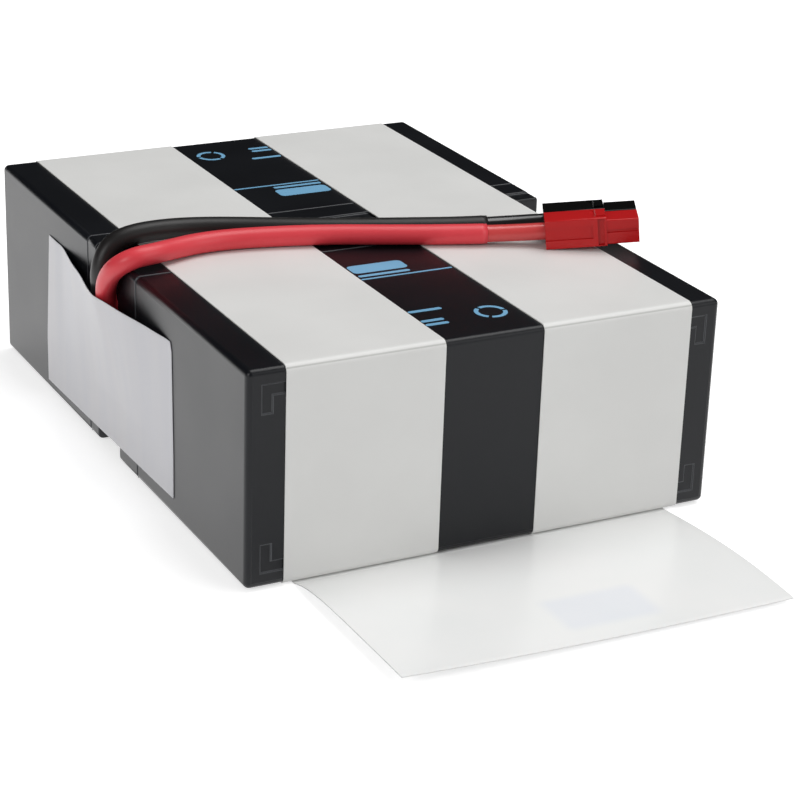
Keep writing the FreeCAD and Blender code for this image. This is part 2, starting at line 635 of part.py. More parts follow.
def make_separators(side):
    """Glass mats between the plates; each cell has two alternating sets."""
    body = new_body(side + "_separators")
    half = f"({CELL_LENGTH} / 2 - separator_side_gap)"
    second = f"(negative_thickness + separator_thickness + {POSITIVE_THICKNESS})"
    top = f"{PLATE_TOP} + separator_rise"
    for row in (0, 1):
        for number, first in enumerate(("negative_thickness", second)):
            start = f"{FIRST_ROW} + {row} * {ROW_STEP} - {STACK} / 2 + {first}"
            name = f"{side}_separator_{row}_{number}"
            outline = sketch_on(body, "XZ", name, f"-({start})")
            left = f"{FIRST_CELL} - {half}"
            right = f"{FIRST_CELL} + {half}"
            rectangle(outline, left, "base_wall", right, top)
            mat = pad(body, outline, "separator_thickness", reverse=True)
            grid(body, mat, "XY", (CELL_STEP, PLATE_STEP), (CELLS_ALONG, POSITIVE_PLATES))
    return in_battery(body, side)


def make_straps(side):
    """Cast straps over the lugs, joined in series through the partitions."""
    body = new_body(side + "_cell_straps")
    bars = sketch_on(body, "XY", side + "_straps", LUG_TOP)
    for direction in (-1, 1):
        middle = f"({FIRST_CELL} + {direction} * {LUG_FROM_CELL})"
        left = f"{middle} - strap_width / 2"
        right = f"{middle} + strap_width / 2"
        rectangle(bars, left, f"{FIRST_ROW} - {STACK} / 2", right, f"{FIRST_ROW} + {STACK} / 2")
    strap = pad(body, bars, "strap_thickness")
    grid(body, strap, "XY", (CELL_STEP, ROW_STEP), (CELLS_ALONG, 2))
    first_wall = f"{FIRST_CELL} + {CELL_STEP} / 2"
    weld = sketch_on(body, "YZ", side + "_weld", first_wall)
    circle(weld, FIRST_ROW, STRAP_MIDDLE, "bridge_radius")
    span = "2 * (lug_inset - strap_width / 2 + bridge_grip) + partition"
    bridge = pad(body, weld, span, both_ways=True)
    grid(body, bridge, "XY", (CELL_STEP, ROW_STEP), (CELLS_ALONG - 1, 2))
    crossing = sketch_on(body, "XZ", side + "_crossing_weld")
    circle(crossing, FAR_LUG, STRAP_MIDDLE, "bridge_radius")
    pad(body, crossing, "2 * (stack_clearance + bridge_grip) + partition", both_ways=True)
    return in_battery(body, side)


def make_terminal(side, name, sign):
    """A blade on a round post that stands on the end strap."""
    body = new_body(f"{side}_{name}_terminal")
    along_y = f"({sign} * terminal_offset)"
    blade = sketch_on(body, "YZ", f"{side}_{name}_blade", TERMINAL_X)
    foot = f"{TERRACE} - seal_depth"
    tip = f"{TERRACE} + blade_height"
    half = "blade_width / 2"
    corners = [
        (f"{along_y} - {half}", foot),
        (f"{along_y} + {half}", foot),
        (f"{along_y} + {half}", f"{tip} - blade_corner"),
        (f"{along_y} + {half} - blade_corner", tip),
        (f"{along_y} - {half} + blade_corner", tip),
        (f"{along_y} - {half}", f"{tip} - blade_corner"),
    ]
    polygon(blade, corners)
    pad(body, blade, "blade_thickness", both_ways=True)
    strap_top = f"{LUG_TOP} + strap_thickness"
    post = sketch_on(body, "XY", f"{side}_{name}_post", strap_top)
    circle(post, TERMINAL_X, along_y, "post_radius")
    pad(body, post, f"{foot} - ({strap_top})")
    return in_battery(body, side)


def make_seals(side):
    body = new_body(side + "_terminal_seals")
    disc = sketch_on(body, "XY", side + "_seal", f"{TERRACE} - seal_depth")
    circle(disc, TERMINAL_X, "-terminal_offset", "seal_radius")
    half_x = "(blade_thickness / 2 + seal_clearance)"
    half_y = "(blade_width / 2 + seal_clearance)"
    left = f"{TERMINAL_X} - {half_x}"
    right = f"{TERMINAL_X} + {half_x}"
    rectangle(disc, left, f"-terminal_offset - {half_y}", right, f"-terminal_offset + {half_y}")
    ring = pad(body, disc, "seal_depth")
    grid(body, ring, "Y", ("2 * terminal_offset",), (2,))
    return in_battery(body, side)


for side in BATTERIES:
    make_container(side)
    make_lid(side)
    make_vent_cover(side)
    make_vent_valves(side)
    positive_first = "negative_thickness + separator_thickness"
    make_plates(side, "negative", NEGATIVE_PLATES, "negative_thickness", "0", -1)
    make_plates(side, "positive", POSITIVE_PLATES, POSITIVE_THICKNESS, positive_first, 1)
    make_separators(side)
    make_straps(side)
    make_terminal(side, "negative", -1)
    make_terminal(side, "positive", 1)
    make_seals(side)


# ---------------------------------------------------------------------------------------------
# Films round the pack
# ---------------------------------------------------------------------------------------------


def make_band(name, left, right):
    """A closed loop of film round both batteries, seen from the left as a thin rectangle."""
    body = new_body(name)
    outer_y = f"({HALF_DEPTH} + film_clearance + film_thickness)"
    inner_y = f"({HALF_DEPTH} + film_clearance)"
    low = "film_thickness"
    inner_low = "(2 * film_thickness)"
    inner_top = f"({BAND_TOP} - film_thickness)"
    loop = sketch_on(body, "YZ", name + "_loop", left)
    inner_radius = "(base_radius + film_clearance)"
    outer_radius = "(base_radius + film_clearance + film_thickness)"
    rounded_rectangle(loop, f"-{outer_y}", low, outer_y, BAND_TOP, outer_radius)
    rounded_rectangle(loop, f"-{inner_y}", inner_low, inner_y, inner_top, inner_radius)
    pad(body, loop, f"{right} - ({left})")
    return settle(body, Placement(), ("0", "0", "0"))


def make_end_film():
    """A film that lies flat low down on the left end and is pushed out at its upper edge."""
    body = new_body("end_film")
    inner = f"-({CASE_END} + film_clearance)"
    levels = [
        ("guard_bottom", "guard_back_low", "guard_front_low", "0"),
        ("guard_flat_top", "guard_back_low", "guard_front_low", "0"),
        ("guard_top", "guard_back_high", "guard_front_high", "guard_bulge"),
    ]
    sections = []
    for number, (height, back, front, bulge) in enumerate(levels):
        sketch = sketch_on(body, "XY", f"end_film_section_{number}", height)
        crest = f"{inner} - {bulge}"
        skin = "film_thickness"
        corners = [
            (inner, back),
            (inner, "guard_lift_back"),
            (crest, "-guard_peak"),
            (inner, "-guard_lift_front"),
            (inner, f"-{front}"),
            (f"{inner} - {skin}", f"-{front}"),
            (f"{inner} - {skin}", "-guard_lift_front"),
            (f"{crest} - {skin}", "-guard_peak"),
            (f"{inner} - {skin}", "guard_lift_back"),
            (f"{inner} - {skin}", back),
        ]
        sections.append(polygon(sketch, corners))
        sketch.Visibility = False
    loft = body.newObject("PartDesign::AdditiveLoft", "end_film_loft")
    loft.Profile = sections[0]
    loft.Sections = sections[1:]
    loft.Ruled = True
    doc.recompute()
    trim = sketch_on(body, "YZ", "end_film_trim", "-case_length")
    low_corners = [
        ("guard_back_low + 1", "guard_bottom - 1"),
        ("guard_back_low", "guard_bottom"),
        ("-guard_front_low", "guard_bottom + guard_slope"),
        ("-guard_front_low - 1", "guard_bottom - 1"),
    ]
    polygon(trim, low_corners)
    high_corners = [
        ("-guard_front_high - 1", "guard_top - guard_corner"),
        ("-guard_front_high + guard_corner", "guard_top + 1"),
        ("-guard_front_high - 1", "guard_top + 1"),
    ]
    polygon(trim, high_corners)
    pocket(body, trim, "case_length", reverse=True)
    return settle(body, Placement(), ("0", "0", "0"))


def make_pull_tab():
    """A film glued under the pack; the part in front of the pack is free."""
    body = new_body("pull_tab")
    front = f"({HALF_DEPTH} + tab_reach)"
    stations = [
        (f"tab_under - {HALF_DEPTH}", "0"),
        (HALF_DEPTH, "0"),
        (f"{HALF_DEPTH} + tab_hump_start", "tab_hump"),
        (f"{HALF_DEPTH} + tab_hump_end", "tab_hump"),
        (front, "0"),
    ]
    sections = []
    for number, (toward_front, rise) in enumerate(stations):
        sketch = sketch_on(body, "XZ", f"pull_tab_section_{number}", toward_front)
        corners = [
            ("-tab_left", rise),
            ("tab_right", "0"),
            ("tab_right", "film_thickness"),
            ("-tab_left", f"{rise} + film_thickness"),
        ]
        sections.append(polygon(sketch, corners))
        sketch.Visibility = False
    loft = body.newObject("PartDesign::AdditiveLoft", "pull_tab_loft")
    loft.Profile = sections[0]
    loft.Sections = sections[1:]
    loft.Ruled = True
    doc.recompute()
    trim = sketch_on(body, "XY", "pull_tab_trim", "-film_thickness")
    corners = [
        ("-tab_left - 1", f"-{front} - 1"),
        ("tab_right", f"-{front} - 1"),
        ("tab_right", f"-{front}"),
        ("-tab_left - 1", f"tab_skew - {front}"),
    ]
    polygon(trim, corners)
    pocket(body, trim, "tab_hump + 3 * film_thickness", reverse=True)
    return settle(body, Placement(), ("0", "0", "0"))


make_band("left_band", "-band_left_outer", "-band_left_inner")
make_band("right_band", "band_right_inner", "band_right_outer")
make_end_film()
make_pull_tab()

# ---------------------------------------------------------------------------------------------
# Connectors
# ---------------------------------------------------------------------------------------------

PLUG_TURN = Rotation(AXIS_Z, value("plug_yaw")) * Rotation(AXIS_Y, -value("plug_pitch"))
PLUG_AXIS = PLUG_TURN.multVec(AXIS_X)
PLUG_RISE = f"{BAND_TOP} + plug_height / 2 * cos(plug_pitch)"
BESIDE = "(plug_width + plug_gap)"
PLUGS = {
    "red": ("plug_x", "plug_y", PLUG_RISE),
    "black": (
        f"plug_x - {BESIDE} * sin(plug_yaw)",
        f"plug_y + {BESIDE} * cos(plug_yaw)",
        PLUG_RISE,
    ),
}


def in_plug(body, colour):
    """Puts a piece of a connector in the pack; its origin is the middle of the rear face."""
    return settle(body, Placement(Vector(), PLUG_TURN), PLUGS[colour])


def make_housing(colour):
    body = new_body(colour + "_housing")
    half_width = "(plug_width / 2)"
    half_height = "(plug_height / 2)"
    outline = sketch_on(body, "YZ", colour + "_rear_outline")
    left = f"-{half_width}"
    bottom = f"-{half_height}"
    rounded_rectangle(outline, left, bottom, half_width, half_height, "housing_edge")
    pad(body, outline, "plug_body")
    nose = sketch_on(body, "YZ", colour + "_nose_outline", "plug_body")
    near = f"nose_inset - {half_width}"
    low = f"nose_inset - {half_height}"
    high = f"({half_height} - nose_drop)"
    rounded_rectangle(nose, near, low, half_width, high, "housing_edge")
    pad(body, nose, "plug_length - plug_body")

    # latch on the top, with a ramp at each end and a dip behind it
    latch = sketch_on(body, "XZ", colour + "_latch")
    crest = f"{half_height} + latch_height"
    corners = [
        ("latch_start", f"{half_height} - nose_drop"),
        ("plug_body", f"{half_height} - nose_drop"),
        ("plug_body", half_height),
        ("plug_body - latch_height / 2", crest),
        ("latch_start + latch_height", crest),
        ("latch_start", half_height),
    ]
    polygon(latch, corners)
    pad(body, latch, "latch_width", both_ways=True)
    dip = sketch_on(body, "XZ", colour + "_latch_dip")
    corners = [
        ("latch_start - latch_dip_length", half_height),
        ("latch_start - latch_dip", f"{half_height} - latch_dip"),
        ("latch_start", half_height),
    ]
    polygon(dip, corners)
    pocket(body, dip, "latch_width", both_ways=True)

    # panel and cross slot in the near side, and a groove along the front part
    side_cut = sketch_on(body, "XZ", colour + "_side_panel", half_width)
    rectangle(side_cut, "-1", "-panel_low", "panel_end", "panel_high")
    pocket(body, side_cut, "panel_depth")
    slot = sketch_on(body, "XZ", colour + "_cross_slot", half_width)
    slot_end = "slot_start + slot_width"
    rectangle(slot, "slot_start", "-slot_half_height", slot_end, "slot_half_height")
    rectangle(slot, "plug_body", "-groove_half_width", "plug_length + 1", "groove_half_width")
    pocket(body, slot, "nose_inset + panel_depth")

    # wire entry and mating mouth
    bore = sketch_on(body, "YZ", colour + "_bore")
    circle(bore, "0", "0", "plug_bore_radius")
    pocket(body, bore, "plug_bore_depth", reverse=True)
    mouth = sketch_on(body, "YZ", colour + "_mouth", "plug_bore_depth")
    rectangle(mouth, "-mouth_half_width", "-mouth_low", "mouth_half_width", "mouth_high")
    pocket(body, mouth, "plug_length", reverse=True)
    return in_plug(body, colour)


def make_contact(colour):
    """Crimp barrel and the flat tongue in front of it."""
    body = new_body(colour + "_contact")
    barrel = sketch_on(body, "YZ", colour + "_barrel", "contact_start")
    circle(barrel, "0", "0", "contact_radius")
    pad(body, barrel, "contact_barrel")
    tongue = sketch_on(body, "XZ", colour + "_tongue")
    start = "contact_start + contact_barrel / 2"
    end = "(plug_length - tongue_setback)"
    top = "-tongue_top"
    under = "-(tongue_top + tongue_thickness)"
    corners = [
        (start, under),
        (f"{end} - tongue_thickness", under),
        (f"{end} - tongue_thickness / 2", f"{under} - tongue_thickness / 3"),
        (end, under),
        (end, f"{top} - tongue_thickness / 3"),
        (f"{end} - tongue_thickness", top),
        (start, top),
    ]
    polygon(tongue, corners)
    pad(body, tongue, "tongue_width", both_ways=True)
    return in_plug(body, colour)


def make_spring(colour):
    """Flat spring on the floor of the mouth; its crest stops just under the tongue."""
    body = new_body(colour + "_contact_spring")
    strip = sketch_on(body, "XZ", colour + "_spring")
    floor = "-mouth_low"
    crest = "-(tongue_top + tongue_thickness + spring_thickness / 4)"
    start = "plug_bore_depth + spring_thickness"
    middle = "(plug_bore_depth + plug_length) / 2"
    end = "plug_length - 2 * tongue_setback"
    corners = [
        (start, floor),
        (f"{middle} - tongue_width / 2", floor),
        (middle, f"{crest} - spring_thickness"),
        (end, floor),
        (end, f"{floor} + spring_thickness"),
        (middle, crest),
        (f"{middle} - tongue_width / 2", f"{floor} + spring_thickness"),
        (start, f"{floor} + spring_thickness"),
    ]
    polygon(strip, corners)
    pad(body, strip, "tongue_width", both_ways=True)
    return in_plug(body, colour)


for colour in PLUGS:
    make_housing(colour)
    make_contact(colour)
    make_spring(colour)

# ---------------------------------------------------------------------------------------------
# Receptacles on the blades
# ---------------------------------------------------------------------------------------------


def make_receptacle(name, side, sign):
    """Flag receptacle: its crimp barrel lies across the blade's tip."""
    body = new_body(name)
    along_y = f"({sign} * terminal_offset)"
    shell = sketch_on(body, "XY", name + "_shell", f"{TERRACE} + receptacle_lift")
    half_x = "receptacle_thickness / 2"
    half_y = "receptacle_width / 2"
    left = f"{TERMINAL_X} - {half_x}"
    right = f"{TERMINAL_X} + {half_x}"
    rectangle(shell, left, f"{along_y} - {half_y}", right, f"{along_y} + {half_y}")
    pad(body, shell, "receptacle_top - receptacle_lift")
    barrel = sketch_on(body, "XZ", name + "_barrel", f"-{along_y}")
    circle(barrel, TERMINAL_X, f"{TERRACE} + barrel_rise", "barrel_radius")
    pad(body, barrel, "barrel_length", both_ways=True)
    slot = sketch_on(body, "XY", name + "_slot", TERRACE)
    half_x = "(blade_thickness / 2 + receptacle_slot)"
    half_y = "(blade_width / 2 + receptacle_slot)"
    left = f"{TERMINAL_X} - {half_x}"
    right = f"{TERMINAL_X} + {half_x}"
    rectangle(slot, left, f"{along_y} - {half_y}", right, f"{along_y} + {half_y}")
    pocket(body, slot, "blade_height + receptacle_slot", reverse=True)
    return in_battery(body, side)


make_receptacle("black_lead_receptacle", "rear", -1)
make_receptacle("rear_link_receptacle", "rear", 1)
make_receptacle("front_link_receptacle", "front", -1)
make_receptacle("red_lead_receptacle", "front", 1)

# ---------------------------------------------------------------------------------------------
# Leads
# ---------------------------------------------------------------------------------------------

BEND_SHARE = 0.45        # how much of the shorter run beside a bend its arc takes up


def route_edges(points):
    """Straight runs and the arcs between them: a list of run, arc, run, arc and so on."""
    points = [Vector(*point) for point in points]
    edges = []
    start = points[0]
    for before, corner, after in zip(points, points[1:], points[2:]):
        into = (corner - before).normalize()
        out = (after - corner).normalize()
        shorter = min((corner - before).Length, (after - corner).Length)
        reach = BEND_SHARE * shorter
        bend_start = corner - into * reach
        bend_end = corner + out * reach
        half_turn = into.getAngle(out) / 2
        radius = reach / math.tan(half_turn)
        toward_centre = (out - into).normalize()
        middle = corner + toward_centre * (radius / math.cos(half_turn) - radius)
        edges.append(Part.LineSegment(start, bend_start).toShape())
        edges.append(Part.Arc(bend_start, middle, bend_end).toShape())
        start = bend_end
    edges.append(Part.LineSegment(start, points[-1]).toShape())
    return edges


def tube(edges, radius):
    """A round bar along the edges."""
    path = Part.Wire(edges)
    start = edges[0].Vertexes[0].Point
    direction = edges[0].tangentAt(edges[0].FirstParameter)
    ring = Part.Wire(Part.makeCircle(radius, start, direction))
    bar = path.makePipeShell([ring], True, True)
    expected = math.pi * radius ** 2 * path.Length
    if abs(bar.Volume / expected - 1) > 0.02:
        raise RuntimeError("a lead's volume differs from its section times its length")
    return bar


def plug_points(colour):
    """The last two points of a lead: in line with its connector, then at its contact."""
    entry = Vector(*[value(number) for number in PLUGS[colour]])
    outside = entry - PLUG_AXIS * value("lead_straight")
    inside = entry + PLUG_AXIS * value("contact_start")
    return [tuple(outside), tuple(inside)]


def sleeve_edges(edges, first):
    """The part of a lead's path that the sleeve covers.

    It begins where the bend at the route's point number `first` begins, and ends short of the
    bend into the connector, on the straight run before it.
    """
    covered = edges[2 * first - 1:-3]
    run = edges[-3]
    corner = run.valueAt(run.LastParameter)
    start = run.valueAt(run.FirstParameter)
    back = (start - corner).normalize()
    bend = BEND_SHARE * value("lead_straight + contact_start")
    end = corner + back * max(value("sleeve_bare") - bend, 0.0)
    return covered + [Part.LineSegment(start, end).toShape()]


def make_sleeve(name, edges):
    outer = tube(edges, value("sleeve_radius"))
    inner = tube(edges, value("wire_radius + sleeve_clearance"))
    return shape_feature(name, outer.cut(inner))


red_path = route_edges(RED_ROUTE + plug_points("red"))
black_path = route_edges(BLACK_ROUTE + plug_points("black"))
link_path = route_edges(LINK_ROUTE)
shape_feature("red_lead", tube(red_path, value("wire_radius")))
shape_feature("black_lead", tube(black_path, value("wire_radius")))
shape_feature("series_link", tube(link_path, value("wire_radius")))
make_sleeve("red_sleeve", sleeve_edges(red_path, RED_SLEEVE_START))
make_sleeve("black_sleeve", sleeve_edges(black_path, BLACK_SLEEVE_START))
for colour in PLUGS:
    print(colour, "lead's last points", plug_points(colour))
for name, path in (("red", red_path), ("black", black_path), ("link", link_path)):
    bends = [edge.Curve.Radius for edge in path if isinstance(edge.Curve, Part.Circle)]
    print(name, "length", round(sum(edge.Length for edge in path), 1))
    print("  bend radii", [round(radius, 1) for radius in bends])

# ---------------------------------------------------------------------------------------------
# Check and write
# ---------------------------------------------------------------------------------------------

doc.recompute()
for item in doc.Objects:
    if "Invalid" in item.State or "Error" in item.State:
        raise RuntimeError(item.Name + " did not build: " + str(item.State))
for name, item in finished.items():
    if item.Shape.isNull() or not item.Shape.isValid():
        raise RuntimeError(name + ": the shape is not valid")
    if not item.Shape.Solids:
        raise RuntimeError(name + ": the shape has no solid")

os.makedirs("parts", exist_ok=True)
for name, item in finished.items():
    item.Shape.exportStep(f"parts/{name}.step")
print(len(finished), "pieces written")
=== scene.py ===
import math

import bpy
from mathutils import Matrix, Vector


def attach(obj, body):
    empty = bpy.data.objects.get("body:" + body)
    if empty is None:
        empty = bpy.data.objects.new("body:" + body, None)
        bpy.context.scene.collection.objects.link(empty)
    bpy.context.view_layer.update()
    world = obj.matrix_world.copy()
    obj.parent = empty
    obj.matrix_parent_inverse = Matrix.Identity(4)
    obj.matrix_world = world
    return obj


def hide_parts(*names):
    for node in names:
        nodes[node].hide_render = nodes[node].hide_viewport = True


# Dressed model of the battery cartridge, in metres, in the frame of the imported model.

MM = 0.001

# The pack, in millimetres, as the solids have it.
CASE_END = 75.5        # middle to either end of a battery
PACK_FRONT = -101.5    # front of the front battery
CASE_TOP = 65.65

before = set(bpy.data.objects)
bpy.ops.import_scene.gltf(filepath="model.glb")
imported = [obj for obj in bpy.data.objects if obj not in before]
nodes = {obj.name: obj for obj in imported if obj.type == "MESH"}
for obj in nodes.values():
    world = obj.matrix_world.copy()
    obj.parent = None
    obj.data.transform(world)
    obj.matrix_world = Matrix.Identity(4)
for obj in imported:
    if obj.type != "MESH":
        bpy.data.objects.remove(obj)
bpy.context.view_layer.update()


def linear(*levels):
    """A colour given as three screen levels from 0 to 255, as linear light."""
    out = []
    for level in levels:
        c = level / 255
        out.append(c / 12.92 if c <= 0.04045 else ((c + 0.055) / 1.055) ** 2.4)
    return (*out, 1.0)


# ---------------------------------------------------------------------------------------------
# Materials
# ---------------------------------------------------------------------------------------------


GLOSS_DRIFT = 0.05       # how far a finish's roughness drifts to either side
COAT_ROUGHNESS = 0.1


def material(name, colour, other, roughness, **look):
    """A finish whose colour drifts softly between two, with two bumps: a coarse and a fine one."""
    mat = bpy.data.materials.new(name)
    mat.use_nodes = True
    tree = mat.node_tree
    shader = tree.nodes["Principled BSDF"]
    place = tree.nodes.new("ShaderNodeTexCoord")
    stretch = tree.nodes.new("ShaderNodeMapping")
    stretch.inputs["Scale"].default_value = look.get("stretch", (1, 1, 1))
    tree.links.new(place.outputs["Object"], stretch.inputs["Vector"])
    drift = tree.nodes.new("ShaderNodeTexNoise")
    drift.inputs["Scale"].default_value = look.get("drift_scale", 30)
    drift.inputs["Detail"].default_value = 3
    tree.links.new(stretch.outputs["Vector"], drift.inputs["Vector"])
    ramp = tree.nodes.new("ShaderNodeValToRGB")
    ramp.color_ramp.elements[0].position = 0.35
    ramp.color_ramp.elements[0].color = colour
    ramp.color_ramp.elements[1].position = 0.65
    ramp.color_ramp.elements[1].color = other
    tree.links.new(drift.outputs["Fac"], ramp.inputs["Fac"])
    tree.links.new(ramp.outputs["Color"], shader.inputs["Base Color"])

    fine = tree.nodes.new("ShaderNodeTexNoise")
    fine.inputs["Scale"].default_value = look.get("grain_scale", 1800)
    fine.inputs["Detail"].default_value = 2
    tree.links.new(place.outputs["Object"], fine.inputs["Vector"])
    gloss = tree.nodes.new("ShaderNodeMapRange")
    gloss.inputs["To Min"].default_value = roughness - GLOSS_DRIFT
    gloss.inputs["To Max"].default_value = roughness + GLOSS_DRIFT
    tree.links.new(drift.outputs["Fac"], gloss.inputs["Value"])
    tree.links.new(gloss.outputs["Result"], shader.inputs["Roughness"])

    coarse = tree.nodes.new("ShaderNodeTexNoise")
    coarse.inputs["Scale"].default_value = look.get("wave_scale", 40)
    coarse.inputs["Detail"].default_value = 1
    tree.links.new(stretch.outputs["Vector"], coarse.inputs["Vector"])
    wave = tree.nodes.new("ShaderNodeBump")
    wave.inputs["Strength"].default_value = look.get("wave", 0.1)
    wave.inputs["Distance"].default_value = look.get("wave_height", 0.4) * MM
    tree.links.new(coarse.outputs["Fac"], wave.inputs["Height"])
    grain = tree.nodes.new("ShaderNodeBump")
    grain.inputs["Strength"].default_value = look.get("grain", 0.1)
    grain.inputs["Distance"].default_value = look.get("grain_height", 0.05) * MM
    tree.links.new(fine.outputs["Fac"], grain.inputs["Height"])
    tree.links.new(wave.outputs["Normal"], grain.inputs["Normal"])
    tree.links.new(grain.outputs["Normal"], shader.inputs["Normal"])

    shader.inputs["Metallic"].default_value = look.get("metallic", 0.0)
    shader.inputs["Specular IOR Level"].default_value = look.get("specular", 0.5)
    shader.inputs["Coat Weight"].default_value = look.get("coat", 0.0)
    shader.inputs["Coat Roughness"].default_value = COAT_ROUGHNESS
    return mat


def shade_where(mat, mask, tone):
    """Multiplies a finish's colour by a tone where the mask is 1."""
    tree = mat.node_tree
    shader = tree.nodes["Principled BSDF"]
    before = shader.inputs["Base Color"].links[0].from_socket
    mix = tree.nodes.new("ShaderNodeMix")
    mix.data_type = "RGBA"
    mix.blend_type = "MULTIPLY"
    mix.inputs["B"].default_value = (*tone, 1)
    tree.links.new(before, mix.inputs["A"])
    tree.links.new(mask, mix.inputs["Factor"])
    tree.links.new(mix.outputs["Result"], shader.inputs["Base Color"])


def add_painted_fold_shade(mat):
    """A thin darker line along each fold of a band, where the film has been bent: painted shade,
    placed by how steep the surface is.
    """
    tree = mat.node_tree
    surface = tree.nodes.new("ShaderNodeNewGeometry")
    apart = tree.nodes.new("ShaderNodeSeparateXYZ")
    tree.links.new(surface.outputs["Normal"], apart.inputs["Vector"])
    line = tree.nodes.new("ShaderNodeValToRGB")
    stops = line.color_ramp.elements
    stops[0].position = 0.42
    stops[0].color = (0, 0, 0, 1)
    stops[1].position = 0.70
    stops[1].color = (0, 0, 0, 1)
    stops.new(0.50).color = (1, 1, 1, 1)
    stops.new(0.58).color = (1, 1, 1, 1)
    tree.links.new(apart.outputs["Z"], line.inputs["Fac"])
    # Painted shade: the fold is darkened to this tone.
    shade_where(mat, line.outputs["Color"], (0.72, 0.72, 0.71))


def add_field(mat, middle, half, tone):
    """A soft-edged rectangle of another tone, placed in x and y, in millimetres."""
    tree = mat.node_tree
    place = tree.nodes.new("ShaderNodeTexCoord")
    apart = tree.nodes.new("ShaderNodeSeparateXYZ")
    tree.links.new(place.outputs["Object"], apart.inputs["Vector"])
    soft = 2.5 * MM
    sides = []
    for axis, centre, reach in zip("XY", middle, half):
        off = tree.nodes.new("ShaderNodeMath")
        off.operation = "SUBTRACT"
        off.inputs[1].default_value = centre * MM
        tree.links.new(apart.outputs[axis], off.inputs[0])
        away = tree.nodes.new("ShaderNodeMath")
        away.operation = "ABSOLUTE"
        tree.links.new(off.outputs["Value"], away.inputs[0])
        inside = tree.nodes.new("ShaderNodeMapRange")
        inside.interpolation_type = "SMOOTHSTEP"
        inside.inputs["From Min"].default_value = reach * MM - soft
        inside.inputs["From Max"].default_value = reach * MM + soft
        inside.inputs["To Min"].default_value = 1.0
        inside.inputs["To Max"].default_value = 0.0
        tree.links.new(away.outputs["Value"], inside.inputs["Value"])
        sides.append(inside.outputs["Result"])
    both = tree.nodes.new("ShaderNodeMath")
    both.operation = "MULTIPLY"
    tree.links.new(sides[0], both.inputs[0])
    tree.links.new(sides[1], both.inputs[1])
    shade_where(mat, both.outputs["Value"], tone)


case_black = material(
    "moulded_black", linear(13, 15, 20), linear(17, 19, 24), 0.38,
    grain=0.35, grain_scale=2200, grain_height=0.05, wave=0.05, specular=0.36,
)
# Painted highlight: a paler grey for the case's bevelled edges, in place of light caught on them.
painted_edge_highlight = material(
    "moulded_black_painted_highlight", linear(58, 60, 64), linear(68, 70, 74), 0.35, specular=0.5,
)
film_white = material(
    "band_film", linear(221, 221, 219), linear(225, 225, 223), 0.38,
    wave=0.25, wave_scale=34, wave_height=0.5, grain=0.02, specular=0.3,
)
# Painted shade along the folds of the bands.
add_painted_fold_shade(film_white)
end_white = material(
    "end_film", linear(202, 202, 207), linear(208, 207, 210), 0.42,
    stretch=(1, 1, 0.16), drift_scale=90, wave=0.3, wave_scale=60, wave_height=0.25,
    grain=0.02, specular=0.4,
)
tab_white = material(
    "tab_film", linear(241, 242, 241), linear(244, 244, 243), 0.24,
    wave=0.15, wave_scale=22, wave_height=0.4, grain=0.01,
)
add_field(tab_white, (8.5, -151.5), (14.5, 8.5), (0.93, 0.945, 0.99))
sleeve_red = material(
    "red_sleeving", linear(218, 58, 68), linear(224, 64, 74), 0.40,
    wave=0.06, wave_scale=120, wave_height=0.12, grain=0.2, grain_scale=900, specular=0.5,
)
sleeve_black = material(
    "black_sleeving", linear(24, 22, 22), linear(29, 27, 26), 0.46,
    wave=0.08, wave_scale=120, wave_height=0.12, grain=0.2, grain_scale=900, specular=0.5,
)
wire_red = material(
    "red_insulation", linear(202, 66, 66), linear(208, 72, 72), 0.26, grain=0.05, coat=0.2,
)
wire_black = material(
    "black_insulation", linear(26, 26, 27), linear(30, 30, 31), 0.28, grain=0.05, coat=0.6,
)
plug_red = material(
    "red_moulding", linear(184, 22, 25), linear(190, 26, 28), 0.24,
    specular=0.35, grain=0.12, grain_scale=3000, grain_height=0.02,
)
plug_black = material(
    "black_moulding", linear(6, 6, 6), linear(8, 8, 8), 0.16,
    specular=0.3, grain=0.06, grain_scale=3000, grain_height=0.02,
)
print_blue = material(
    "pale_blue_ink", linear(112, 168, 204), linear(120, 176, 212), 0.45, grain=0.1,
)
lead_grey = material(
    "cast_lead", linear(128, 130, 134), linear(112, 114, 118), 0.55,
    metallic=0.8, grain=0.4, grain_scale=700,
)
tin = material(
    "tinned_brass", linear(206, 204, 198), linear(196, 192, 182), 0.26,
    metallic=1.0, grain=0.15, grain_scale=1500,
)
steel = material(
    "spring_steel", linear(170, 172, 176), linear(160, 162, 166), 0.3,
    metallic=1.0, grain=0.1,
)
resin = material("poured_resin", linear(48, 46, 48), linear(60, 56, 56), 0.2, grain=0.1)
rubber = material(
    "valve_rubber", linear(42, 42, 43), linear(50, 50, 50), 0.7, grain=0.3, grain_scale=1200,
)
brown_paste = material(
    "brown_paste", linear(96, 62, 46), linear(84, 54, 42), 0.85, grain=0.6, grain_scale=500,
)
grey_paste = material(
    "grey_paste", linear(118, 120, 124), linear(104, 106, 112), 0.85, grain=0.6, grain_scale=500,
)
glass_mat = material(
    "glass_fibre", linear(232, 232, 226), linear(222, 222, 216), 0.95,
    grain=0.8, grain_scale=1500, grain_height=0.1,
)

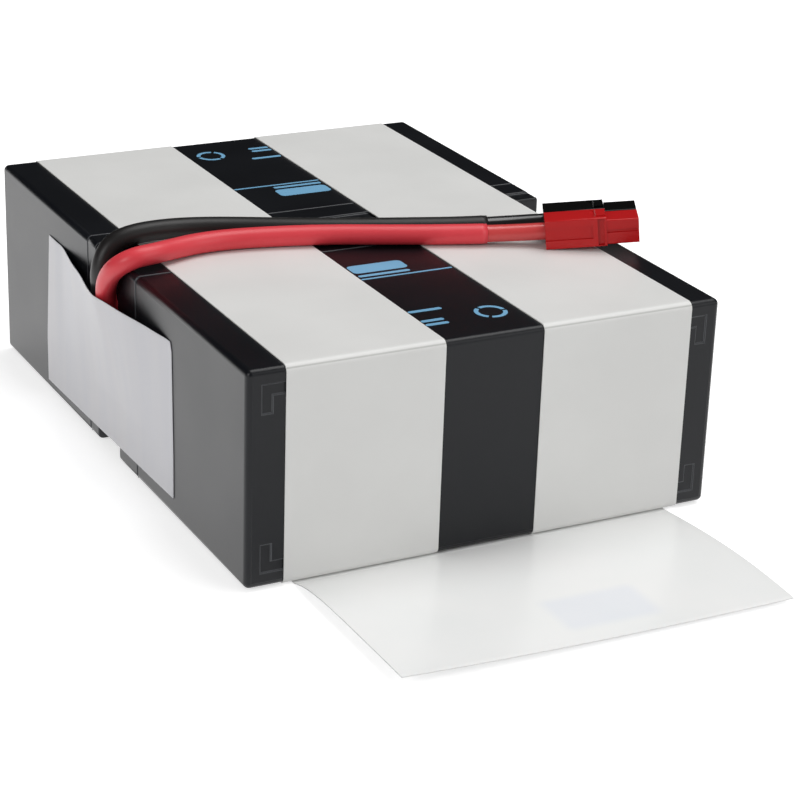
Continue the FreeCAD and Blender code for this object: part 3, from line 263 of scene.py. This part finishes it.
FINISH = {
    "left_band": film_white,
    "right_band": film_white,
    "red_housing": plug_red,
    "black_housing": plug_black,
    "red_contact": tin,
    "black_contact": tin,
    "red_contact_spring": steel,
    "black_contact_spring": steel,
    "black_lead_receptacle": tin,
    "red_lead_receptacle": tin,
    "rear_link_receptacle": tin,
    "front_link_receptacle": tin,
}
for side in ("front", "rear"):
    FINISH.update({
        side + "_container": case_black,
        side + "_lid": case_black,
        side + "_vent_cover": case_black,
        side + "_vent_valves": rubber,
        side + "_positive_plates": brown_paste,
        side + "_negative_plates": grey_paste,
        side + "_separators": glass_mat,
        side + "_cell_straps": lead_grey,
        side + "_positive_terminal": tin,
        side + "_negative_terminal": tin,
        side + "_terminal_seals": resin,
    })
for name, finish in FINISH.items():
    for place in nodes[name].material_slots:
        place.material = finish


CASE_BEVEL = 0.26      # mm
HOUSING_BEVEL = 0.14   # mm
WELD_REACH = 0.002     # mm, corners nearer than this become one


def soften(name, width, finish=None):
    """Small round edges, for the light to catch; a finish paints a highlight on them, a paler grey
    than the face.

    The housings keep the bevel's clamp, because without it their small steps grow spikes.
    """
    weld = nodes[name].modifiers.new("joined_corners", "WELD")
    weld.merge_threshold = WELD_REACH * MM
    joined = nodes[name].modifiers.new("joined_faces", "DECIMATE")
    joined.decimate_type = "DISSOLVE"
    joined.angle_limit = math.radians(0.5)
    edge = nodes[name].modifiers.new("soft_edges", "BEVEL")
    edge.width = width * MM
    edge.segments = 2
    edge.limit_method = "ANGLE"
    edge.angle_limit = math.radians(35)
    edge.harden_normals = True
    # The finish goes on the bevel faces only, as a painted highlight.
    if finish:
        edge.use_clamp_overlap = False
        nodes[name].data.materials.append(finish)
        edge.material = len(nodes[name].data.materials) - 1


# The case's bevels carry the painted highlight.
for name in ("front_lid", "rear_lid", "front_container", "rear_container"):
    soften(name, CASE_BEVEL, painted_edge_highlight)
for name in ("red_housing", "black_housing"):
    soften(name, HOUSING_BEVEL)


# ---------------------------------------------------------------------------------------------
# Camera, lamps and floor
# ---------------------------------------------------------------------------------------------

CAMERA_AT = (-315.3, -643.9, 302.85)     # mm
CAMERA_AZIMUTH = -27.80                  # degrees, 0 looks along +Y
CAMERA_ELEVATION = 22.38
CAMERA_ROLL = 1.96
CAMERA_LENS = 108.08                     # mm, on a sensor 36 mm wide
SENSOR_WIDTH = 36


def add_camera():
    turn = math.radians(CAMERA_AZIMUTH)
    lift = math.radians(CAMERA_ELEVATION)
    roll = math.radians(CAMERA_ROLL)
    back = Vector((
        math.sin(turn) * math.cos(lift),
        -math.cos(turn) * math.cos(lift),
        math.sin(lift),
    ))
    right = Vector((0, 0, 1)).cross(back).normalized()
    up = back.cross(right)
    across = right * math.cos(roll) + up * math.sin(roll)
    upward = up * math.cos(roll) - right * math.sin(roll)
    data = bpy.data.cameras.new("camera")
    data.lens = CAMERA_LENS
    data.sensor_width = SENSOR_WIDTH
    data.clip_start = 0.01
    data.clip_end = 20
    camera = bpy.data.objects.new("camera", data)
    bpy.context.scene.collection.objects.link(camera)
    axes = Matrix((across, upward, back)).transposed()
    camera.matrix_world = Matrix.Translation(Vector(CAMERA_AT) * MM) @ axes.to_4x4()
    bpy.context.scene.camera = camera


def add_lamp(name, place, side, power):
    """A white square lamp aimed at the pack's origin; place and side are in metres."""
    data = bpy.data.lights.new(name, "AREA")
    data.shape = "RECTANGLE"
    data.size = side
    data.size_y = side
    data.energy = power
    lamp = bpy.data.objects.new(name, data)
    bpy.context.scene.collection.objects.link(lamp)
    lamp.location = place
    aim = -Vector(place)
    lamp.rotation_euler = aim.to_track_quat("-Z", "Y").to_euler()


FLOOR_TURN = -0.101        # m, the front of the pack, where what the floor shows in it changes
FLOOR_SHINE_FRONT = 0.35   # added to the floor as mirrored in the front
FLOOR_SHINE_BACK = 1.15    # and in the left end
FLOOR_GLOW = 0.6           # added to the floor as the camera sees it
FLOOR_BLEND = 0.01         # m, half the width of that change
FLOOR_HALF = 4.0           # m, middle to a side
FLOOR_DROP = 0.0002        # m, floor below the tab, so that they don't share a plane


def add_floor():
    """A white floor; how bright it looks depends on whether it is seen or mirrored."""
    half = FLOOR_HALF
    corners = [(-half, -half, 0), (half, -half, 0), (half, half, 0), (-half, half, 0)]
    mesh = bpy.data.meshes.new("floor")
    mesh.from_pydata(corners, [], [(0, 1, 2, 3)])
    floor = bpy.data.objects.new("floor", mesh)
    floor.location.z = -FLOOR_DROP
    bpy.context.scene.collection.objects.link(floor)
    mat = bpy.data.materials.new("floor_white")
    mat.use_nodes = True
    tree = mat.node_tree
    tree.nodes.clear()
    out = tree.nodes.new("ShaderNodeOutputMaterial")
    diffuse = tree.nodes.new("ShaderNodeBsdfDiffuse")
    diffuse.inputs["Color"].default_value = (0.8, 0.8, 0.8, 1)
    glow = tree.nodes.new("ShaderNodeEmission")
    ray = tree.nodes.new("ShaderNodeLightPath")
    place = tree.nodes.new("ShaderNodeTexCoord")
    apart = tree.nodes.new("ShaderNodeSeparateXYZ")
    tree.links.new(place.outputs["Object"], apart.inputs["Vector"])
    side = tree.nodes.new("ShaderNodeMapRange")
    side.inputs["From Min"].default_value = FLOOR_TURN - FLOOR_BLEND
    side.inputs["From Max"].default_value = FLOOR_TURN + FLOOR_BLEND
    side.inputs["To Min"].default_value = FLOOR_SHINE_FRONT
    side.inputs["To Max"].default_value = FLOOR_SHINE_BACK
    tree.links.new(apart.outputs["Y"], side.inputs["Value"])
    shine = tree.nodes.new("ShaderNodeMath")
    shine.operation = "MULTIPLY"
    tree.links.new(ray.outputs["Is Glossy Ray"], shine.inputs[0])
    tree.links.new(side.outputs["Result"], shine.inputs[1])
    strength = tree.nodes.new("ShaderNodeMath")
    strength.operation = "MULTIPLY_ADD"
    strength.inputs[1].default_value = FLOOR_GLOW
    tree.links.new(ray.outputs["Is Camera Ray"], strength.inputs[0])
    tree.links.new(shine.outputs["Value"], strength.inputs[2])
    tree.links.new(strength.outputs["Value"], glow.inputs["Strength"])
    both = tree.nodes.new("ShaderNodeAddShader")
    tree.links.new(diffuse.outputs["BSDF"], both.inputs[0])
    tree.links.new(glow.outputs["Emission"], both.inputs[1])
    tree.links.new(both.outputs["Shader"], out.inputs["Surface"])
    mesh.materials.append(mat)


DOME = 0.35            # light from all round
MIRRORED_DOME = 0.02   # the same as mirrored in the pack, where the studio is dark


def add_world():
    """White to the camera; a soft grey dome to everything else."""
    world = bpy.data.worlds.new("studio")
    bpy.context.scene.world = world
    world.use_nodes = True
    tree = world.node_tree
    tree.nodes.clear()
    out = tree.nodes.new("ShaderNodeOutputWorld")
    dome = tree.nodes.new("ShaderNodeBackground")
    dome.inputs["Color"].default_value = (1, 1, 1, 1)
    ray = tree.nodes.new("ShaderNodeLightPath")
    seen = tree.nodes.new("ShaderNodeMath")
    seen.operation = "MULTIPLY_ADD"
    seen.inputs[1].default_value = 1.0 - DOME
    seen.inputs[2].default_value = DOME
    tree.links.new(ray.outputs["Is Camera Ray"], seen.inputs[0])
    level = tree.nodes.new("ShaderNodeMath")
    level.operation = "MULTIPLY_ADD"
    level.inputs[1].default_value = MIRRORED_DOME - DOME
    tree.links.new(ray.outputs["Is Glossy Ray"], level.inputs[0])
    tree.links.new(seen.outputs["Value"], level.inputs[2])
    tree.links.new(level.outputs["Value"], dome.inputs["Strength"])
    tree.links.new(dome.outputs["Background"], out.inputs["Surface"])


bpy.context.scene.view_settings.view_transform = "Standard"
add_camera()
add_world()
add_floor()
add_lamp("overhead", (0.5, 0.0, 1.4), 1.0, 12)
add_lamp("front_right", (0.9, -1.3, 0.8), 1.0, 5.5)
add_lamp("front_left", (-1.4, -0.7, 0.8), 0.5, 7)


# ---------------------------------------------------------------------------------------------
# Leads
# ---------------------------------------------------------------------------------------------

WIRE_RADIUS = 2.7
SLEEVE_RADIUS = 3.15
SLEEVE_CLEARANCE = 0.06
SLEEVE_LIP = 0.12      # rounding of a sleeve's rim
SLEEVE_DEPTH = 3.0     # how far its bore is modelled
SLEEVE_SIDES = 28

RED_ROUTE = [
    (66, -4.7, 50.65), (66, -4.7, 44.5), (61.5, -2.8, 39.5), (53.5, -0.9, 37.5),
    (39, -0.6, 37.0), (14, -0.8, 38.2), (-12, -0.7, 39.0), (-38, -1.0, 38.6),
    (-52, -1.3, 39.2), (-62, -1.4, 40.2), (-71.8, -1.4, 43.2), (-77.4, -1.8, 50.0),
    (-78.8, -3.8, 56.6), (-79.3, -7.6, 62.1), (-78.3, -12.6, 66.9), (-74.1, -15.6, 70.0),
    (-67.4, -14.8, 70.2), (-60.0, -11.2, 69.6), (-50, -8.1, 69.3), (-37, -8.5, 69.3),
    (-14, -14.0, 69.3), (8, -23.0, 69.3), (26, -29.8, 69.3),
    (45.948, -37.787, 69.936), (58.273, -44.258, 71.424),
]
BLACK_ROUTE = [
    (-66, 4.7, 15.65), (-66, 4.7, 23.0), (-69.3, 4.8, 34.0), (-75.0, 4.8, 43.5),
    (-77.0, 4.7, 53.0), (-77.2, 4.9, 60.5), (-74.3, 5.5, 66.7), (-68.8, 5.4, 69.5),
    (-60, 5.4, 70.3), (-48, 5.2, 69.9), (-34, 1.6, 69.4), (-18, -5.6, 69.3),
    (1, -13.2, 69.3), (18, -19.2, 69.3), (32, -24.0, 69.3),
    (50.294, -29.508, 69.936), (62.619, -35.979, 71.424),
]
LINK_ROUTE = [
    (-66, 4.7, 50.65), (-66, 4.7, 43.5), (-62.5, 2.6, 34.0), (-54.5, 0.6, 29.0),
    (-42, 0.5, 26.5), (-20, 0.2, 24.5), (5, 0, 24.3), (30, -0.5, 25.5), (52, -0.8, 28.5),
    (61, -2.6, 28.5), (66, -4.7, 23.0), (66, -4.7, 15.65),
]


def route_curve(name, route):
    """A round wire along a smooth line led by the route's points."""
    data = bpy.data.curves.new(name, "CURVE")
    data.dimensions = "3D"
    data.resolution_u = 10
    data.bevel_depth = WIRE_RADIUS * MM
    data.bevel_resolution = 6
    data.use_fill_caps = True
    line = data.splines.new("NURBS")
    line.points.add(len(route) - 1)
    for point, place in zip(line.points, route):
        point.co = (*[number * MM for number in place], 1)
    line.order_u = 3
    line.use_endpoint_u = True
    piece = bpy.data.objects.new(name, data)
    bpy.context.scene.collection.objects.link(piece)
    return piece


def curve_points(curve):
    """Points along a curve's own line."""
    bare = curve.copy()
    bare.data = curve.data.copy()
    bare.data.bevel_depth = 0
    mesh = bpy.data.meshes.new_from_object(bare)
    points = [vertex.co.copy() for vertex in mesh.vertices]
    bpy.data.meshes.remove(mesh)
    bpy.data.curves.remove(bare.data)
    return points


def new_mesh(name, vertices, faces, finish, smooth=True):
    mesh = bpy.data.meshes.new(name)
    mesh.from_pydata(vertices, [], faces)
    mesh.materials.append(finish)
    mesh.polygons.foreach_set("use_smooth", [smooth] * len(mesh.polygons))
    mesh.validate()
    mesh.update()
    piece = bpy.data.objects.new(name, mesh)
    bpy.context.scene.collection.objects.link(piece)
    return piece


def sleeve_mesh(name, points, finish):
    """A tube with a rounded rim and an open bore at each end."""
    outer = SLEEVE_RADIUS * MM
    inner = (WIRE_RADIUS + SLEEVE_CLEARANCE) * MM
    depth = SLEEVE_DEPTH * MM
    lip = SLEEVE_LIP * MM
    around = SLEEVE_SIDES
    side = Vector((0, 0, 1))
    tangents = []
    for number in range(len(points)):
        before = points[max(number - 1, 0)]
        after = points[min(number + 1, len(points) - 1)]
        tangents.append((after - before).normalized())
    frames = []
    for point, tangent in zip(points, tangents):
        side = (side - tangent * side.dot(tangent)).normalized()
        frames.append((point, tangent, side.copy(), tangent.cross(side)))
    first, last = frames[0], frames[-1]

    def ring(place, shift, radius):
        point, tangent, one, two = place
        centre = point + tangent * shift
        return [
            centre + (one * math.cos(turn) + two * math.sin(turn)) * radius
            for turn in [2 * math.pi * step / around for step in range(around)]
        ]

    rings = [
        ring(first, depth, inner),
        ring(first, lip, inner),
        ring(first, 0, inner + lip),
        ring(first, 0, outer - lip),
        *[ring(place, 0, outer) for place in frames[1:-1]],
        ring(last, 0, outer - lip),
        ring(last, 0, inner + lip),
        ring(last, -lip, inner),
        ring(last, -depth, inner),
    ]
    vertices = [corner for one in rings for corner in one]
    faces = []
    for number in range(len(rings) - 1):
        for step in range(around):
            after = (step + 1) % around
            low = number * around
            high = low + around
            faces.append((low + step, low + after, high + after, high + step))
    return new_mesh(name, vertices, faces, finish)


def nearest(points, place):
    """The number of the point nearest a place in millimetres."""
    spot = Vector(place) * MM
    return min(range(len(points)), key=lambda number: (points[number] - spot).length)


def add_lead(name, route, finish, sleeve_name, sleeve_finish, span):
    """A wire and the sleeve over it, which covers the wire between the two places in span."""
    wire = route_curve(name + "_wire", route)
    wire.data.materials.append(finish)
    points = curve_points(wire)
    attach(wire, "root")
    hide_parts(name)
    start = nearest(points, span[0])
    end = nearest(points, span[1])
    sleeve = sleeve_mesh(sleeve_name + "_tube", points[start:end + 1], sleeve_finish)
    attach(sleeve, "root")
    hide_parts(sleeve_name)


add_lead(
    "red_lead", RED_ROUTE, wire_red, "red_sleeve", sleeve_red,
    ((-70, -1.4, 42.5), (34.8, -33.3, 69.5)),
)
add_lead(
    "black_lead", BLACK_ROUTE, wire_black, "black_sleeve", sleeve_black,
    ((-74, 4.8, 42.0), (38.8, -26.1, 69.5)),
)
link = route_curve("series_link_wire", LINK_ROUTE)
link.data.materials.append(wire_black)
link_points = curve_points(link)
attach(link, "root")
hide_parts("series_link")


# ---------------------------------------------------------------------------------------------
# Films
# ---------------------------------------------------------------------------------------------

def blend_in(x, low, high):
    """0 below low, 1 above high, smooth between."""
    t = min(max((x - low) / (high - low), 0.0), 1.0)
    return t * t * (3 - 2 * t)


def film(name, rows, thickness, finish):
    """A thin closed skin: the rows of points are its outer face; it grows to the other side."""
    across = len(rows[0])
    vertices = [Vector(point) * MM for row in rows for point in row]
    faces = []
    for line in range(len(rows) - 1):
        for step in range(across - 1):
            low = line * across + step
            faces.append((low, low + 1, low + across + 1, low + across))
    piece = new_mesh(name, vertices, faces, finish)
    skin = piece.modifiers.new("skin", "SOLIDIFY")
    skin.thickness = thickness * MM
    skin.offset = -1
    skin.use_even_offset = True
    crisp = piece.modifiers.new("crisp_rim", "WEIGHTED_NORMAL")
    crisp.weight = 100
    return piece


# End film, in millimetres: where it ends in y and z, and how the leads push it out.
GUARD_BACK = 59.2          # rear edge, at the bottom
GUARD_FRONT = -49.6        # front edge, at the bottom
GUARD_BACK_DRAW = 3.9      # how far the rear edge has come in at the top
GUARD_FRONT_DRAW = 1.0     # and the front edge
GUARD_BOTTOM = 4.0         # lower edge at the rear
GUARD_SLOPE = 2.8          # how much higher it is at the front
GUARD_TOP = 55.2
GUARD_FRONT_TOP = 52.3     # top of the front edge, under the cut corner
GUARD_FLAT = 20.0          # height up to which it lies flat
GUARD_CREST = -2.8         # where the lifted edge stands out most
GUARD_LIFT_BACK = 43.0     # where it starts to lift, at the rear
GUARD_LIFT_FRONT = -45.0   # and at the front
GUARD_STAND_OFF = 6.9      # crest off the end
GUARD_DRAW_START = 0.3     # share of the height at which its edges start to come in
GUARD_SKIN = 0.25          # outer face off the end, at its glued edges
GUARD_LOOSE = 0.1          # and how much further between them
GUARD_WAVE = 0.25          # height of the soft waves along it
GUARD_WAVE_TURN = 0.13     # radians a millimetre
GUARD_WAVE_START = 1.1     # radians
GUARD_THICKNESS = 0.22


def lift_at(y):
    """How far the end film's upper edge stands off the case, from 0 to 1 at its crest."""
    total = 0.0
    shifts = (-1.6, -0.8, 0.0, 0.8, 1.6)
    for shift in shifts:
        spot = y + shift
        if spot > GUARD_CREST:
            share = (GUARD_LIFT_BACK - spot) / (GUARD_LIFT_BACK - GUARD_CREST)
        else:
            share = (spot - GUARD_LIFT_FRONT) / (GUARD_CREST - GUARD_LIFT_FRONT)
        total += max(share, 0.0)
    return total / len(shifts)


def end_film_rows():
    """The end film's outer face: flat low down, pushed out by the leads higher up."""
    rows = []
    high_steps = 44
    across_steps = 80
    shares = [0.99 * step / across_steps for step in range(across_steps + 1)] + [1.0]
    for line in range(high_steps + 1):
        v = line / high_steps
        row = []
        for u in shares:
            drawn_in = max(v - GUARD_DRAW_START, 0) / (1 - GUARD_DRAW_START)
            back = GUARD_BACK - GUARD_BACK_DRAW * drawn_in
            front = GUARD_FRONT + GUARD_FRONT_DRAW * drawn_in
            y = back + (front - back) * u
            bottom = GUARD_BOTTOM + GUARD_SLOPE * u
            top = GUARD_TOP if u < 1.0 else GUARD_FRONT_TOP
            z = bottom + (top - bottom) * v
            rise = max(z - GUARD_FLAT, 0) / (GUARD_TOP - GUARD_FLAT)
            rise = 0.65 * rise + 0.35 * rise ** 2
            loose = 1 - (2 * u - 1) ** 6
            stand_off = GUARD_STAND_OFF * lift_at(y) * rise
            wave = math.sin(y * GUARD_WAVE_TURN + GUARD_WAVE_START) ** 2
            stand_off += GUARD_WAVE * loose * blend_in(z, 8, 30) * wave
            x = -(CASE_END + GUARD_SKIN + GUARD_LOOSE * loose + stand_off)
            row.append((x, y, z))
        rows.append(row)
    return rows


end_film = film("end_film_sheet", end_film_rows(), GUARD_THICKNESS, end_white)
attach(end_film, "root")
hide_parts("end_film")


# Pull tab, in millimetres: its edges, and how its free part lifts off the floor.
TAB_LEFT = -60.7
TAB_RIGHT = 61.9
TAB_END = -167.2
TAB_UNDER = [95.5, 60, 20, -20, -60, -95]   # stations under the pack, from its rear edge
TAB_TOP = 0.27            # upper face where it lies flat
TAB_THICKNESS = 0.24
TAB_LEFT_RISE = 3.6
TAB_LEFT_EASE = 10        # how soon the left side has lifted
TAB_RIGHT_RISE = 2.35
TAB_RIGHT_SPAN = 79       # length of the hump at the right side


def tab_rows():
    """A flat strip under the pack; its free part lifts at both sides, most at the left."""
    left, right = TAB_LEFT, TAB_RIGHT
    front, end = PACK_FRONT, TAB_END
    steps = 40
    free = [front + (end - front) * step / steps for step in range(steps + 1)]
    wide = 40
    rows = []
    for y in TAB_UNDER + free:
        out = max(front - y, 0.0)
        left_rise = TAB_LEFT_RISE * (1 - math.exp(-out / TAB_LEFT_EASE))
        right_rise = TAB_RIGHT_RISE * math.sin(math.pi * out / TAB_RIGHT_SPAN)
        row = []
        for step in range(wide + 1):
            u = step / wide
            rise = left_rise * (1 - u) ** 2.2 + right_rise * u ** 0.85
            row.append((left + (right - left) * u, y, TAB_TOP + rise))
        rows.append(row)
    return rows


tab = film("pull_tab_sheet", list(reversed(tab_rows())), TAB_THICKNESS, tab_white)
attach(tab, "root")
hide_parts("pull_tab")


# ---------------------------------------------------------------------------------------------
# Plain marks on the cases
# ---------------------------------------------------------------------------------------------

MARK_BELOW = 0.02      # mm, underside of a mark below its level
MARK_ABOVE = 0.03      # mm, top of a mark above it
MARK_LEVEL = CASE_TOP + 0.02
RING_ARCS = 3
RING_GAP = 14          # degrees between two arcs


def flat_marks(name, shapes, finish):
    """Thin flat plates on top of a case; each shape is an outline of points in x and y."""
    vertices = []
    faces = []
    for outline in shapes:
        first = len(vertices)
        count = len(outline)
        for height in (MARK_LEVEL - MARK_BELOW, MARK_LEVEL + MARK_ABOVE):
            vertices += [Vector((x, y, height)) * MM for x, y in outline]
        faces.append(tuple(range(first + count - 1, first - 1, -1)))
        faces.append(tuple(range(first + count, first + 2 * count)))
        for step in range(count):
            after = (step + 1) % count
            faces.append((
                first + step, first + after, first + count + after, first + count + step,
            ))
    piece = new_mesh(name, vertices, faces, finish, smooth=False)
    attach(piece, "root")


def bar(x0, y0, x1, y1, radius=0.8):
    """A rectangle with round corners."""
    radius = min(radius, (x1 - x0) / 2, (y1 - y0) / 2)
    out = []
    for cx, cy, start in (
        (x1 - radius, y1 - radius, 0), (x0 + radius, y1 - radius, 90),
        (x0 + radius, y0 + radius, 180), (x1 - radius, y0 + radius, 270),
    ):
        for step in range(5):
            turn = math.radians(start + 22.5 * step)
            out.append((cx + radius * math.cos(turn), cy + radius * math.sin(turn)))
    return out


def ring_parts(cx, cy, radius, width):
    """A ring in separate arcs."""
    out = []
    for number in range(RING_ARCS):
        start = 360 / RING_ARCS * number + RING_GAP / 2
        end = 360 / RING_ARCS * (number + 1) - RING_GAP / 2
        turns = [math.radians(start + (end - start) * k / 8) for k in range(9)]
        outer = [(cx + radius * math.cos(t), cy + radius * math.sin(t)) for t in turns]
        near = radius - width
        inner = [(cx + near * math.cos(t), cy + near * math.sin(t)) for t in reversed(turns)]
        out.append(outer + inner)
    return out


def front_marks():
    return [
        bar(-14.5, -42.0, 3.6, -35.2, 1.6),
        bar(-14.5, -45.2, 2.6, -43.6, 0.7),
        bar(-14.9, -47.6, 15.4, -46.7, 0.4),
        bar(-14.9, -78.0, -4.2, -76.4, 0.7),
        bar(-14.9, -86.0, -7.6, -84.4, 0.7),
        bar(-14.9, -89.0, -7.6, -87.4, 0.7),
        *ring_parts(7.6, -85.2, 4.9, 1.3),
    ]


def rear_marks():
    """The front battery's marks turned half round, and moved a little to the right."""
    return [[(0.6 - x, -y) for x, y in outline] for outline in front_marks()]


flat_marks("front_print", front_marks(), print_blue)
flat_marks("rear_print", rear_marks(), print_blue)
